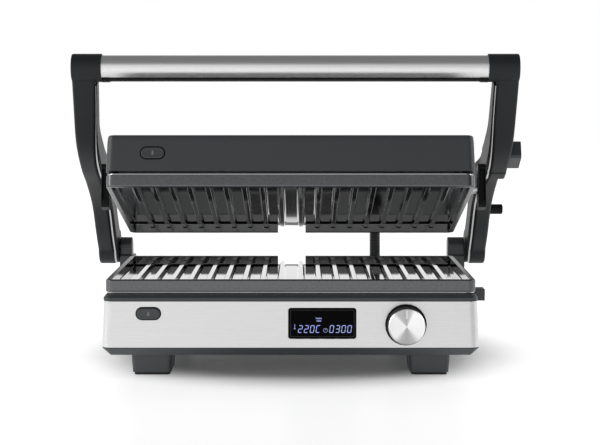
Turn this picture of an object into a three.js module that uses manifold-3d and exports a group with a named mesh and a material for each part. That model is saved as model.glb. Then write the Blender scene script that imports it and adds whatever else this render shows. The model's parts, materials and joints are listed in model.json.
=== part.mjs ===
// A contact grill (panini press): a base with a ridged lower plate, and a head with
// the same plate upside down.
// Two arms turn on hinge lugs at the back of the base, carry a tube handle at their front ends, and hold the
// head between them on two pins in slotted brackets, so that the head can ride up over thick food.
// Millimetres, +Z up, the front faces -Y. The lid stands part open.
import * as THREE from "three";
import { mergeVertices } from "three/addons/utils/BufferGeometryUtils.js";
import Module from "manifold-3d";

const wasm = await Module();
wasm.setup();

// ---------------------------------------------------------------- driving dimensions
const FRAME_SHIFT = new THREE.Vector3(-8.8, 4.6, 0); // middle of the base to the middle of the whole outline
const GAP = 0.3; // between pieces that touch
const ROUND = 24; // sides of a turned piece
const SHEET = 1.2; // steel sheet
const WALL = 2.4; // moulded wall

const BASE = { halfX: 167.4, halfY: 170, corner: 8, bottom: 20, chamferTop: 27.5, panelTop: 69, top: 74 };
const FRONT = -BASE.halfY; // y of the base's front face
const DRAFT = 1.9; // how much narrower the base is at its top, each side
const CHAMFER = 7.5;
const BAND_END = -153; // y where the wrapped ends of the steel front stop
const FOOT = { x: 124.5, y: 127, halfX: 18.5, halfY: 24, height: 19.7, pad: 2 };

const PLATE = {
  halfX: 165, halfY: 115, corner: 7, rim: 5, rimHeight: 10.8, floor: 9.5, ridgeTop: 4.7, under: 13.7,
};
const PLATE_Y = -43; // centre of both plates when the lid is shut
const PLATE_TOP = 86.7; // rim of the lower plate
const PLATE_GAP = 0.7; // between the two rims when the lid is shut
const RIDGES = { count: 18, pitch: 16.6, middleGap: 18.4, top: 4.4, foot: 7.4, halfLength: 109.5 };
const SPOUT = { halfX: 14, wall: 2, reach: 8, notchHalfX: 46 };
const PAN = { halfX: 155, halfY: 105, corner: 8, flange: 9.2, depth: 26 };

const HINGE = { y: 157, z: 89, pin: 4, pinEnd: 198, bore: 4.3, eye: 18.5 }; // lid axis, along X
const LID_OPEN = 15; // degrees from shut, as the lid stands
const LUG = { inner: { left: 170.5, right: 165.8 }, outer: 183.3, halfY: 12, crown: 9.5, foot: 34, leg: 6 };
const HEAD = { halfX: 165.5, front: -115.5, back: 118, corner: 6.5, bottom: 15, top: 48.2, wall: 2.5 };
const PIVOT = { y: 20, z: 26.3, boss: 10, bossStart: 162.4, bossEnd: 172 }; // the pins, in the head's own frame
const BRACKET = { halfY: 9.4, slotHalfY: 4.8, bottom: 5, top: 48, float: 14 };

const ARM = { halfDepth: 14.5, topDepth: 9.5, cover: 4.8, core: [2.5, 4.5], liner: [0, 2.2] };
const TUBE = { radius: 11.85, wall: 1.2, bore: 12.2, socket: 13.2, left: -190, right: 198 };
const SOCKET_INNER = { left: 176.5, right: 184 };
const SLEEVE_START = 166; // mm along the right arm, where its upper part is wider
const SLIDER = { at: 189, inner: 211.9, outer: 222.6, halfLength: 14, halfDepth: 9, stem: 3, travel: 16 };
const LOCK = { y: -56.4, z: 29, radius: 5.2, inner: 198.5, end: 218.9, bottom: 193 };

const BUTTON = { halfX: 11, halfZ: 5.6, reach: 1.8, collar: 2 };
const LOWER_BUTTON = { x: -125.6, z: 57.9 };
const UPPER_BUTTON = { x: -123.5, z: 31.5 };
const KNOB = { x: 102, z: 48, radius: 17, front: -185.3, back: -173.2 };
const DISPLAY = { x: 28.1, z: 49.2, halfX: 29.8, halfZ: 13.5 };
const TRAY = { halfX: 60, back: 168, front: 70, bottom: 28, top: 49, wall: 1.6 };
const GLAND = { x: -105, z: 48, radius: 7 };
const CATCH = { y: -115, halfY: 10, bottom: 64, top: 74.3, inner: 166.9, outer: 176.4 };
const LEAD = { x: 86.5, radius: 5.5, deckY: 113, boot: 8 };

// ---------------------------------------------------------------- materials
const material = (color, roughness, metalness) =>
  new THREE.MeshStandardMaterial({ color, roughness, metalness });
const darkPlastic = material(0x2b2d2f, 0.5, 0);
const blackPlastic = material(0x151617, 0.55, 0);
const brushedSteel = material(0xc9cacb, 0.32, 1);
const castAluminium = material(0x35373a, 0.35, 0.6);
const rubber = material(0x1a1a1b, 0.9, 0);
const blackGlass = material(0x050507, 0.08, 0);
const copper = material(0x8a6a4a, 0.5, 0.8);
const circuit = material(0x1f4a33, 0.6, 0);

// ---------------------------------------------------------------- solids
// A closed geometry as a manifold-3d solid.
function solid(geometry) {
  const bare = geometry.index ? geometry.toNonIndexed() : geometry.clone();
  bare.deleteAttribute("normal");
  bare.deleteAttribute("uv");
  const merged = mergeVertices(bare, 1e-4);
  const vertProperties = merged.getAttribute("position").array;
  const triVerts = new Uint32Array(merged.index.array);
  return new wasm.Manifold(new wasm.Mesh({ numProp: 3, vertProperties, triVerts }));
}

function geometryOf(shape) {
  const mesh = shape.getMesh();
  const geometry = new THREE.BufferGeometry();
  geometry.setAttribute("position", new THREE.BufferAttribute(mesh.vertProperties, 3));
  geometry.setIndex(new THREE.BufferAttribute(mesh.triVerts, 1));
  geometry.computeVertexNormals();
  return geometry;
}

const joined = (first, ...rest) => rest.reduce((whole, next) => whole.add(next), first);
const cut = (body, ...holes) => holes.reduce((left, hole) => left.subtract(hole), body);

function block([x0, x1], [y0, y1], [z0, z1]) {
  const box = new THREE.BoxGeometry(x1 - x0, y1 - y0, z1 - z0);
  return solid(box.translate((x0 + x1) / 2, (y0 + y1) / 2, (z0 + z1) / 2));
}

function roundedRect(halfX, halfY, r) {
  const shape = new THREE.Shape();
  shape.moveTo(-halfX + r, -halfY);
  shape.lineTo(halfX - r, -halfY);
  shape.absarc(halfX - r, -halfY + r, r, -Math.PI / 2, 0);
  shape.absarc(halfX - r, halfY - r, r, 0, Math.PI / 2);
  shape.absarc(-halfX + r, halfY - r, r, Math.PI / 2, Math.PI);
  shape.absarc(-halfX + r, -halfY + r, r, Math.PI, 1.5 * Math.PI);
  return shape;
}

const extruded = (shape, depth, curveSegments = 3) =>
  new THREE.ExtrudeGeometry(shape, { depth, curveSegments, bevelEnabled: false });

// An upright prism with round corners; topX and topY say how much its top is drawn in on each side.
function slab(halfX, halfY, corner, z0, z1, { y = 0, topX = 0, topY = 0, curve = 3 } = {}) {
  const geometry = extruded(roundedRect(halfX, halfY, corner), z1 - z0, curve);
  const position = geometry.getAttribute("position");
  for (let i = 0; i < position.count; i++) {
    if (position.getZ(i) < (z1 - z0) / 2) continue;
    position.setX(i, position.getX(i) * (1 - topX / halfX));
    position.setY(i, position.getY(i) * (1 - topY / halfY));
  }
  return solid(geometry.translate(0, y, z0));
}

function rod(axis, radius, from, to, a, b, sides = ROUND) {
  const geometry = new THREE.CylinderGeometry(radius, radius, to - from, sides);
  const middle = (from + to) / 2;
  if (axis === "x") return solid(geometry.rotateZ(Math.PI / 2).translate(middle, a, b));
  if (axis === "z") return solid(geometry.rotateX(Math.PI / 2).translate(a, b, middle));
  return solid(geometry.translate(a, middle, b));
}

// A pill-shaped prism along Y, centred on (x, z).
function pill(halfX, halfZ, y0, y1, x, z) {
  const geometry = extruded(roundedRect(halfX, halfZ, halfZ - 0.05), y1 - y0);
  return solid(geometry.rotateX(Math.PI / 2).translate(x, y1, z));
}

// A turned piece: profile is a list of [radius, height], closed on itself or on the axis.
function turned(profile) {
  const points = profile.map(([r, h]) => new THREE.Vector2(r, h));
  return new THREE.LatheGeometry(points, ROUND);
}

function wire(points, radius, steps, quarters = 3) {
  const section = new THREE.Shape();
  section.absarc(0, 0, radius, 0, 2 * Math.PI);
  const extrudePath = new THREE.CatmullRomCurve3(points.map((p) => new THREE.Vector3(...p)));
  return solid(new THREE.ExtrudeGeometry(section, { extrudePath, steps, curveSegments: quarters }));
}

// A compression spring along Y, from y0 to y1.
function spring(x, z, y0, y1, radius, turns) {
  const perTurn = 10;
  const points = Array.from({ length: turns * perTurn + 1 }, (_, i) => {
    const a = (2 * Math.PI * i) / perTurn;
    const y = y0 + 0.5 + ((y1 - y0 - 1) * i) / (turns * perTurn);
    return [x + radius * Math.cos(a), y, z + radius * Math.sin(a)];
  });
  return wire(points, 0.45, turns * perTurn);
}

// ---------------------------------------------------------------- scene graph
const press = new THREE.Group();
press.position.copy(FRAME_SHIFT);
const lid = new THREE.Group(); // its own frame: the hinge axis at the origin, drawn shut
lid.position.set(0, HINGE.y, HINGE.z);
lid.rotation.x = -THREE.MathUtils.degToRad(LID_OPEN);
const head = new THREE.Group(); // its own frame: the plates' contact plane at z 0, the plate's centre at y 0
head.position.set(0, PLATE_Y - HINGE.y, PLATE_TOP - HINGE.z);
press.add(lid);
lid.add(head);

function place(group, name, shape, finish) {
  const mesh = new THREE.Mesh(shape.isBufferGeometry ? shape : geometryOf(shape), finish);
  mesh.name = name;
  group.add(mesh);
  return mesh;
}

const SIDES = [["left", -1], ["right", 1]];
const spanX = (sign, a, b) => [Math.min(sign * a, sign * b), Math.max(sign * a, sign * b)];

// ---------------------------------------------------------------- base
// The bottom pan, whose lower edge is cut back at a slope all round.
function basePan() {
  const { halfX, halfY, corner, bottom, chamferTop } = BASE;
  const top = chamferTop - GAP;
  const tub = slab(halfX, halfY, corner, -top, -bottom, { topX: CHAMFER, topY: CHAMFER }).mirror([0, 0, 1]);
  const hollow = slab(halfX - 11, halfY - 11, 5, bottom + WALL, top + 5);
  const vents = [...Array(9).keys()].map((i) => block([-58 + 14 * i, -52 + 14 * i], [-90, -30], [15, 26]));
  return cut(tub, hollow, ...vents);
}

const outline = (inset, z0, z1) => slab(BASE.halfX - inset, BASE.halfY - inset, BASE.corner - inset, z0, z1,
  { topX: DRAFT });

// The steel front: a sheet whose ends wrap round the front corners.
function frontPanel() {
  const { x, z, halfX, halfZ } = DISPLAY;
  const sheet = cut(outline(0, BASE.chamferTop, BASE.panelTop - GAP), outline(SHEET, 20, 80));
  return cut(sheet, block([-180, 180], [BAND_END, 180], [0, 90]),
    pill(BUTTON.halfX + 0.6, BUTTON.halfZ + 0.6, FRONT - 5, FRONT + 5, LOWER_BUTTON.x, LOWER_BUTTON.z),
    displayPane(halfX + GAP, halfZ + GAP, FRONT - 5, FRONT + 5, x, z),
    rod("y", 4.2, FRONT - 5, FRONT + 5, KNOB.x, KNOB.z));
}

// The moulded walls, set back at the front to take the steel sheet.
function baseShell() {
  const walls = outline(0, BASE.chamferTop, BASE.panelTop - GAP);
  const back = block([-180, 180], [BAND_END + GAP, 180], [0, 90]);
  const seat = cut(outline(-3, 20, 80), outline(SHEET + GAP, 19, 81), back);
  const cavity = slab(BASE.halfX - DRAFT - WALL - SHEET, BASE.halfY - WALL - SHEET, 5, 20, 90);
  const controls = block([-142, 126], [FRONT, FRONT + 8], [33, 67.4]);
  const trayWay = block([-TRAY.halfX - 0.4, TRAY.halfX + 0.4], [160, 175], [20, TRAY.top + 0.5]);
  const spoutView = block([-SPOUT.notchHalfX, SPOUT.notchHalfX], [150, 175], [66, 90]);
  const catchSlot = block([155, 175], [CATCH.y - 12.5, CATCH.y + 12.5], [62, 67]);
  return cut(walls, seat, cavity, controls, trayWay, spoutView, catchSlot, gland(GAP));
}

function displayPane(halfX, halfZ, y0, y1, x, z) {
  const geometry = extruded(roundedRect(halfX, halfZ, 2.2), y1 - y0, 3);
  return solid(geometry.rotateX(Math.PI / 2).translate(x, y1, z));
}

const gland = (clearance) => rod("y", GLAND.radius + clearance, 160, 176, GLAND.x, GLAND.z, 20);

// The moulded top edge round the lower plate, low behind it where the spout is.
function deck() {
  const narrowing = { topX: 0.8, topY: 0.8 };
  const plate = slab(BASE.halfX - 1.4, BASE.halfY - 0.4, BASE.corner, BASE.panelTop, BASE.top, narrowing);
  const opening = slab(PAN.halfX + 2, PAN.halfY + 2, PAN.corner, 60, 90, { y: PLATE_Y });
  const dripSlot = block([-18, 18], [60, 96], [60, 90]);
  const spoutView = block([-SPOUT.notchHalfX, SPOUT.notchHalfX], [95, 180], [60, 90]);
  const leadHole = rod("z", LEAD.radius + 1, 60, 90, LEAD.x, LEAD.deckY, 20);
  return cut(plate, opening, dripSlot, spoutView, leadHole);
}

// A floor under the low part of the deck, which leads the fat down into the tray.
function dripFunnel() {
  const floor = block([-SPOUT.notchHalfX + 0.5, SPOUT.notchHalfX - 0.5], [66, 165.5], [62, 65.5]);
  return cut(floor, block([-16, 16], [74, 92], [50, 80]));
}

function foot(x, y) {
  const narrowing = { topX: 1.2, topY: 1.2, curve: 3 };
  const upside = slab(FOOT.halfX, FOOT.halfY, 4, -FOOT.height, -FOOT.pad - GAP, narrowing);
  return upside.mirror([0, 0, 1]).translate([x, y, 0]);
}

const footPad = (x, y) =>
  slab(FOOT.halfX - 2.5, FOOT.halfY - 2.5, 4, 0, FOOT.pad, { curve: 3 }).translate([x, y, 0]);

function dripTray() {
  const { halfX, back, front, bottom, top, wall } = TRAY;
  const bin = block([-halfX + 1, halfX - 1], [front, back], [bottom, top]);
  const insideX = halfX - 1 - wall;
  const hollow = block([-insideX, insideX], [front + wall, back - 3], [bottom + wall, top + 5]);
  const face = block([-halfX, halfX], [back - 2, BASE.halfY], [bottom, top]);
  const pull = block([-24, 24], [BASE.halfY - 1, BASE.halfY + 6], [top - 3.2, top]);
  return joined(cut(bin, hollow), face, pull);
}

function heatPan() {
  const tub = slab(PAN.halfX, PAN.halfY, PAN.corner, -PAN.depth, 0);
  const flange = slab(PAN.halfX + PAN.flange, PAN.halfY + PAN.flange, PAN.corner, -SHEET, 0);
  const hollow = slab(PAN.halfX - SHEET, PAN.halfY - SHEET, PAN.corner - SHEET, -PAN.depth + SHEET, 5);
  return cut(joined(tub, flange), hollow);
}

function heatingElement(z) {
  const loop = [[-26, 72], [-70, 72], [-128, 66], [-136, 0], [-128, -66], [-70, -78], [0, -60], [70, -78],
    [128, -66], [136, 0], [128, 66], [70, 72], [26, 72]];
  return wire(loop.map(([x, y]) => [x, y, z]), 3.2, 40);
}

// A tab on a stem, which slides in a slot of the side wall: it holds the lid shut when the grill is put away.
function storageCatch() {
  const { y, halfY, bottom, top, inner, outer } = CATCH;
  const tab = block([inner, outer], [y - halfY, y + halfY], [bottom, top]);
  return joined(tab, block([162, inner + 1], [y - 4, y + 4], [bottom - 1.6, 66.6]));
}

// A post on a leg beside the base, with a blind bore for its pin.
function hingeLug(side, sign) {
  const { outer, halfY, crown, foot: footZ, leg: legTop } = LUG;
  const inner = LUG.inner[side];
  const beside = BASE.halfX + GAP;
  const round = rod("x", crown, ...spanX(sign, inner, outer), HINGE.y, HINGE.z);
  const around = (half) => [HINGE.y - half, HINGE.y + half];
  const post = block(spanX(sign, inner, outer), around(crown), [BASE.top + GAP, HINGE.z]);
  const leg = block(spanX(sign, beside, outer), around(halfY), [footZ, BASE.top + legTop]);
  const bore = rod("x", HINGE.bore, ...spanX(sign, inner + 2, outer + 5), HINGE.y, HINGE.z, 20);
  return cut(joined(round, post, leg), bore);
}

const hingePin = (side, sign) =>
  rod("x", HINGE.pin, ...spanX(sign, LUG.inner[side] + 2.5, HINGE.pinEnd), HINGE.y, HINGE.z, 20);

// ---------------------------------------------------------------- grill plate, rim up, rim at z 0
const ridgePositions = [...Array(RIDGES.count / 2).keys()]
  .flatMap((i) => [-1, 1].map((side) => side * (RIDGES.middleGap / 2 + i * RIDGES.pitch)));

function ridge(x) {
  const [halfTop, halfFoot, base] = [RIDGES.top / 2, RIDGES.foot / 2, -PLATE.floor];
  const [root, crest] = [base - 0.6, -PLATE.ridgeTop];
  const shape = new THREE.Shape([[-halfFoot, root], [halfFoot, root], [halfFoot, base], [halfTop, crest],
    [-halfTop, crest], [-halfFoot, base]].map(([u, v]) => new THREE.Vector2(u, v)));
  const bar = extruded(shape, 2 * RIDGES.halfLength).rotateX(Math.PI / 2);
  return solid(bar.translate(x, RIDGES.halfLength, 0));
}

function grillPlate() {
  const { halfX, halfY, corner, rim, rimHeight, floor, under } = PLATE;
  const casting = slab(halfX, halfY, corner, -rimHeight, 0);
  const basin = slab(halfX - rim, halfY - rim, corner - 3, -floor, 5);
  const slabUnder = slab(PAN.halfX - 3.5, PAN.halfY - 3.5, 5, -under, -rimHeight + 0.5);
  const notch = block([-SPOUT.halfX, SPOUT.halfX], [halfY - rim - 1, halfY + 1], [-floor, 5]);
  const end = halfY + SPOUT.reach;
  const outside = SPOUT.halfX + SPOUT.wall;
  const spout = block([-outside, outside], [halfY - 1, end], [-rimHeight, -PLATE.ridgeTop]);
  const channel = block([-SPOUT.halfX, SPOUT.halfX], [halfY - 2, end + 1], [-floor, 5]);
  const lip = block([-SPOUT.halfX, SPOUT.halfX], [end - 2, end], [-rimHeight - 4.5, -floor]);
  const body = joined(cut(casting, basin, notch), slabUnder);
  return joined(body, cut(spout, channel), lip, ...ridgePositions.map(ridge));
}

// ---------------------------------------------------------------- controls
function knobCap() {
  const { x, z, radius, front, back } = KNOB;
  const depth = back - front;
  const cap = solid(turned([[0, 0], [radius, 0], [radius, depth - 0.8], [radius - 0.8, depth], [0, depth]])
    .rotateX(Math.PI).translate(x, back, z));
  return cut(cap, rod("y", 3.3, front + 2, back + 5, x, z, 16));
}

const knobRing = () => cut(rod("y", 18.4, FRONT - 1.3, FRONT - GAP, KNOB.x, KNOB.z),
  rod("y", 4.2, FRONT - 5, FRONT + 5, KNOB.x, KNOB.z));
const encoderShaft = () => rod("y", 3, KNOB.front + 2.3, FRONT + 7.2, KNOB.x, KNOB.z, 16);
const ENCODER_HALF = 7;
const encoderBody = () => cut(
  block([KNOB.x - ENCODER_HALF, KNOB.x + ENCODER_HALF], [FRONT + 2.4, FRONT + 9.6],
    [KNOB.z - ENCODER_HALF, KNOB.z + ENCODER_HALF]),
  rod("y", 3.3, FRONT - 5, FRONT + 9, KNOB.x, KNOB.z, 16));

// A push button with a collar behind the wall it sits in; face is its front, wall the wall's inner face.
function releaseButton({ x, z }, face, wall) {
  const { halfX, halfZ, collar } = BUTTON;
  const stem = pill(halfX, halfZ, face, wall + 0.4 + collar, x, z);
  return joined(stem, pill(halfX + 2, halfZ + 2, wall + 0.4, wall + 0.4 + collar, x, z));
}

// ---------------------------------------------------------------- head, in its own frame
const HEAD_MIDDLE = (HEAD.front + HEAD.back) / 2;
const HEAD_HALF_Y = (HEAD.back - HEAD.front) / 2;

function headCover() {
  const { halfX, corner, bottom, top, wall } = HEAD;
  const outer = slab(halfX, HEAD_HALF_Y, corner, bottom, top, { y: HEAD_MIDDLE, topX: DRAFT, topY: 0.6 });
  const inner = slab(halfX - wall, HEAD_HALF_Y - wall, corner - wall, bottom - 1, top - wall,
    { y: HEAD_MIDDLE, topX: DRAFT, topY: 0.6 });
  const recess = slab(150, 101, 12, top - 1.1, top + 5, { y: HEAD_MIDDLE });
  const bosses = SIDES.map(([, s]) =>
    rod("x", PIVOT.boss, ...spanX(s, PIVOT.bossStart, PIVOT.bossEnd), PIVOT.y, PIVOT.z));
  const bores = rod("x", HINGE.bore, -190, 190, PIVOT.y, PIVOT.z, 20);
  const leadHole = rod("y", LEAD.radius + 1, 110, 125, LEAD.x, PIVOT.z - 1, 20);
  const buttonHole = pill(BUTTON.halfX + 0.6, BUTTON.halfZ + 0.6, -125, -108, UPPER_BUTTON.x, UPPER_BUTTON.z);
  return cut(joined(cut(outer, inner), ...bosses), recess, bores, leadHole, buttonHole);
}

const topInlay = () => slab(149.6, 100.6, 11.6, HEAD.top - 0.8, HEAD.top, { y: HEAD_MIDDLE });

function headFrame() {
  const [low, high] = [HEAD.bottom + GAP, HEAD.bottom + 3.5];
  const ring = slab(HEAD.halfX - 3.4, HEAD_HALF_Y - 3.4, 6, low, high, { y: HEAD_MIDDLE });
  return cut(ring, slab(PAN.halfX + 1, PAN.halfY + 1, PAN.corner, 0, 40));
}

const PIN_END = { left: 183.4, right: 187.8 };
const pivotPin = (side, s) => rod("x", HINGE.pin, ...spanX(s, 159, PIN_END[side]), PIVOT.y, PIVOT.z, 20);

// ---------------------------------------------------------------- arms, in the lid's frame
const smooth = THREE.MathUtils.smoothstep;

// The arms' centre line in the YZ plane, from the hinge axis to the handle.
const spine = new THREE.CatmullRomCurve3(
  [[0, 0], [-29, 13.5], [-75, 39.5], [-130, 52.5], [-172, 58], [-214, 71], [-236, 93], [-262.7, 122.7]]
    .map(([y, z]) => new THREE.Vector3(0, y, z)), false, "centripetal");
const ARM_LENGTH = spine.getLength();
const grip = spine.getPoint(1);

function armPoint(s) {
  const u = THREE.MathUtils.clamp(s / ARM_LENGTH, 0, 1);
  const { y, z } = spine.getPointAt(u);
  const tangent = spine.getTangentAt(u);
  return { y, z, rise: Math.atan2(tangent.z, -tangent.y) };
}

// How far out each arm's inner and outer faces stand, s along it.
const armFaces = {
  left: (s) => ({ inner: 184 - 3 * smooth(s, 215, 300), outer: 205 - 0.5 * smooth(s, 215, 300) }),
  right: (s) => ({
    inner: 184.3 + 4.2 * smooth(s, 130, 150) + 1 * smooth(s, 200, 300),
    outer: 205 + 5 * smooth(s, SLEEVE_START, SLEEVE_START + 3) + 3 * smooth(s, SLEEVE_START, 300),
  }),
};
const armHalfDepth = (s) => ARM.halfDepth - (ARM.halfDepth - ARM.topDepth) * smooth(s, 180, 300);
// The steel core and the liner thin out towards the handle, and the cover grows to match.
const thinning = { left: 0.7, right: 0.5 };
const layerScale = (side, s) => 1 - thinning[side] * smooth(s, 190, 250);
const sleeveProud = (s) => 1.6 * smooth(s, SLEEVE_START, SLEEVE_START + 3) * (1 - smooth(s, 180, 290));

const SPANS = 20;
const CORE_END = ARM_LENGTH - 15; // just short of the tube's socket
const stations = [...Array(SPANS + 1).keys()].map((i) => (ARM_LENGTH * i) / SPANS)
  .concat([SLEEVE_START, SLEEVE_START + 3, CORE_END]).sort((a, b) => a - b);

// A bar along an arm between two depths measured out from its inner face; null as `to` means its outer face.
function armBar(side, along, from, to, { inset = 0, bevel = 0.02, proud = () => 0 } = {}) {
  const edge = 1 - bevel;
  const section = new THREE.Shape([[-1, -edge], [-edge, -1], [edge, -1], [1, -edge], [1, edge], [edge, 1],
    [-edge, 1], [-1, edge]].map(([u, v]) => new THREE.Vector2(u, v)));
  const last = along.length - 1;
  const geometry = new THREE.ExtrudeGeometry(section, { depth: last, steps: last, bevelEnabled: false });
  const position = geometry.getAttribute("position");
  const sign = side === "left" ? -1 : 1;
  for (let i = 0; i < position.count; i++) {
    const s = along[Math.round(position.getZ(i))];
    const { y, z, rise } = armPoint(s);
    const faces = armFaces[side](s);
    const near = faces.inner + from * layerScale(side, s);
    const far = to === null ? faces.outer : faces.inner + to * layerScale(side, s);
    const x = near + ((far - near) * (1 + sign * position.getX(i))) / 2;
    const across = position.getY(i) * (armHalfDepth(s) + proud(s) - inset);
    position.setXYZ(i, sign * x, y + across * Math.sin(rise), z + across * Math.cos(rise));
  }
  return solid(geometry);
}

const eye = (side, sign, from, to, radius) => {
  const { inner, outer } = armFaces[side](0);
  return rod("x", radius, ...spanX(sign, inner + from, to === null ? outer : inner + to), 0, 0);
};
const hingeBore = (sign) => rod("x", HINGE.bore, ...spanX(sign, 170, 198.5), 0, 0, 20);

function armCover(side, sign) {
  const bevelled = { bevel: 0.14, proud: side === "right" ? sleeveProud : () => 0 };
  const bar = armBar(side, stations, ARM.cover, null, bevelled);
  const { outer } = armFaces[side](ARM_LENGTH);
  const socket = rod("x", TUBE.socket, ...spanX(sign, SOCKET_INNER[side], outer), grip.y, grip.z);
  const holeX = spanX(sign, SOCKET_INNER[side] - 3, Math.abs(TUBE[side]) + 1);
  const socketHole = rod("x", TUBE.bore, ...holeX, grip.y, grip.z);
  const round = eye(side, sign, ARM.cover, null, HINGE.eye);
  return cut(joined(bar, round, socket), socketHole, hingeBore(sign));
}

function armLayer(side, sign, [from, to], inset) {
  const bar = armBar(side, stations.filter((s) => s <= CORE_END), from, to, { inset });
  return cut(joined(bar, eye(side, sign, from, to, HINGE.eye - inset)), hingeBore(sign));
}

// Turned with the arm's rise s along it and set there.
function onArm(shape, s) {
  const at = armPoint(s);
  return shape.rotate([-THREE.MathUtils.radToDeg(at.rise), 0, 0]).translate([0, at.y, at.z]);
}

function rightArmCover() {
  const { halfDepth, stem, travel, at } = SLIDER;
  const wayY = [-halfDepth + 2 - travel - 0.4, halfDepth - 2 + 0.4];
  const way = block([203, 216], wayY, [-stem - 0.4, stem + 0.4]);
  const lockBore = rod("x", LOCK.radius + GAP, LOCK.bottom, 210, LOCK.y, LOCK.z);
  return cut(armCover("right", 1), onArm(way, at), lockBore);
}

// A thumb block on the outside of the right arm, with a stem in a slot along it.
function heightSlider() {
  const { inner, outer, halfLength, halfDepth, stem, at } = SLIDER;
  const thumb = block([inner, outer], [-halfLength, halfLength], [-halfDepth, halfDepth]);
  return onArm(joined(thumb, block([203.3, inner + 1], [-halfDepth + 2, halfDepth - 2], [-stem, stem])), at);
}

function lockPin() {
  const { y, z, radius, inner, end } = LOCK;
  const length = end - inner;
  return turned([[0, 0], [radius, 0], [radius, length - 1.2], [radius - 1.2, length], [0, length]])
    .rotateZ(-Math.PI / 2).translate(inner, y, z);
}

// A slotted plate beside the arm: the head's pin rests at the bottom of its slot.
function floatBracket(side, sign) {
  const { halfY, slotHalfY, bottom, top, float } = BRACKET;
  const [y, z] = [head.position.y + PIVOT.y, head.position.z + PIVOT.z];
  const [inner, outer] = side === "left" ? [175.5, 183.7] : [180.5, 188.1];
  const plate = block(spanX(sign, inner, outer), [y - halfY, y + halfY], [bottom, top]);
  const through = spanX(sign, inner - 1, outer + 1);
  const ends = [z, z + float].map((at) => rod("x", slotHalfY, ...through, y, at, 20));
  const middle = block(spanX(sign, inner - 1, outer + 1), [y - slotHalfY, y + slotHalfY], [z, z + float]);
  return cut(plate, ...ends, middle);
}

function handleTube() {
  const { radius, wall, left, right } = TUBE;
  return cut(rod("x", radius, left, right, grip.y, grip.z, 32),
    rod("x", radius - wall, left - 1, right + 1, grip.y, grip.z, 32));
}

// A shallow strip hugging the underside of the tube.
function gripStrip() {
  const [inner, outer] = [TUBE.radius + 0.35, TUBE.radius + 1.6];
  const [from, to] = [-112, -52].map(THREE.MathUtils.degToRad);
  const shape = new THREE.Shape();
  shape.absarc(0, 0, outer, from, to);
  shape.absarc(0, 0, inner, to, from, true);
  const [x0, x1] = [-SOCKET_INNER.left + GAP, SOCKET_INNER.right - GAP];
  const strip = extruded(shape, x1 - x0, 8).rotateY(Math.PI / 2).rotateX(Math.PI / 2);
  return solid(strip.translate(x0, grip.y, grip.z));
}

// The lead from the deck to the back of the head, between its two boots, with slack for the lid to open.
const LEAD_ROUTE = [
  [113, 82.6], [113.4, 94], [114.2, 104], [113.6, 114], [110.5, 122], [104.8, 127.4], [96.1, 129.9],
];
const headLead = () => wire(LEAD_ROUTE.map(([y, z]) => [LEAD.x, y, z]), LEAD.radius, 20, 6);
const lowerBoot = () => rod("z", LEAD.boot, BASE.top + GAP, 82, LEAD.x, LEAD.deckY, 20);
const upperBoot = () => rod("y", LEAD.boot, HEAD.back + GAP, HEAD.back + 8.3, LEAD.x, PIVOT.z - 1, 20);

// ---------------------------------------------------------------- assembly
place(press, "base_pan", basePan(), darkPlastic);
place(press, "base_shell", baseShell(), darkPlastic);
place(press, "front_panel", frontPanel(), brushedSteel);
place(press, "deck", deck(), darkPlastic);
place(press, "drip_funnel", dripFunnel(), blackPlastic);
for (const [sideName, sx] of SIDES) {
  for (const [endName, sy] of [["front", -1], ["rear", 1]]) {
    place(press, `foot_${endName}_${sideName}`, foot(sx * FOOT.x, sy * FOOT.y), darkPlastic);
    place(press, `foot_pad_${endName}_${sideName}`, footPad(sx * FOOT.x, sy * FOOT.y), rubber);
  }
}
const panTop = PLATE.rimHeight + GAP;
place(press, "lower_heat_pan", heatPan().translate([0, PLATE_Y, PLATE_TOP - panTop]), brushedSteel);
place(press, "lower_heating_element", heatingElement(66.5).translate([0, PLATE_Y, 0]), copper);
place(press, "lower_temperature_probe", rod("z", 6, 64, 72.6, 0, PLATE_Y, 16), copper);
place(press, "lower_grill_plate", grillPlate().translate([0, PLATE_Y, PLATE_TOP]), castAluminium);
place(press, "drip_tray", dripTray(), darkPlastic);
place(press, "mains_gland", gland(0), blackPlastic);
place(press, "storage_catch", storageCatch(), darkPlastic);

const { halfX: paneX, halfZ: paneZ, x: displayX, z: displayZ } = DISPLAY;
const pane = displayPane(paneX, paneZ, FRONT - 0.2, FRONT + 2.4, displayX, displayZ);
place(press, "display_window", pane, blackGlass);
place(press, "display_module", block([0, 56], [FRONT + 2.7, FRONT + 9], [37, 61]), circuit);
place(press, "control_board", block([-4, 122], [FRONT + 12, FRONT + 13.6], [34, 66]), circuit);
place(press, "rotary_encoder", encoderBody(), blackPlastic);
place(press, "encoder_shaft", encoderShaft(), brushedSteel);
place(press, "knob_ring", knobRing(), blackPlastic);
place(press, "control_knob", knobCap(), brushedSteel);
const lowerWall = FRONT + SHEET;
const lowerRelease = releaseButton(LOWER_BUTTON, FRONT - BUTTON.reach, lowerWall);
place(press, "lower_release_button", lowerRelease, darkPlastic);
const lowerSpring = spring(LOWER_BUTTON.x, LOWER_BUTTON.z, lowerWall + 2.8, lowerWall + 10.3, 3, 3);
place(press, "lower_button_spring", lowerSpring, brushedSteel);

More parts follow.
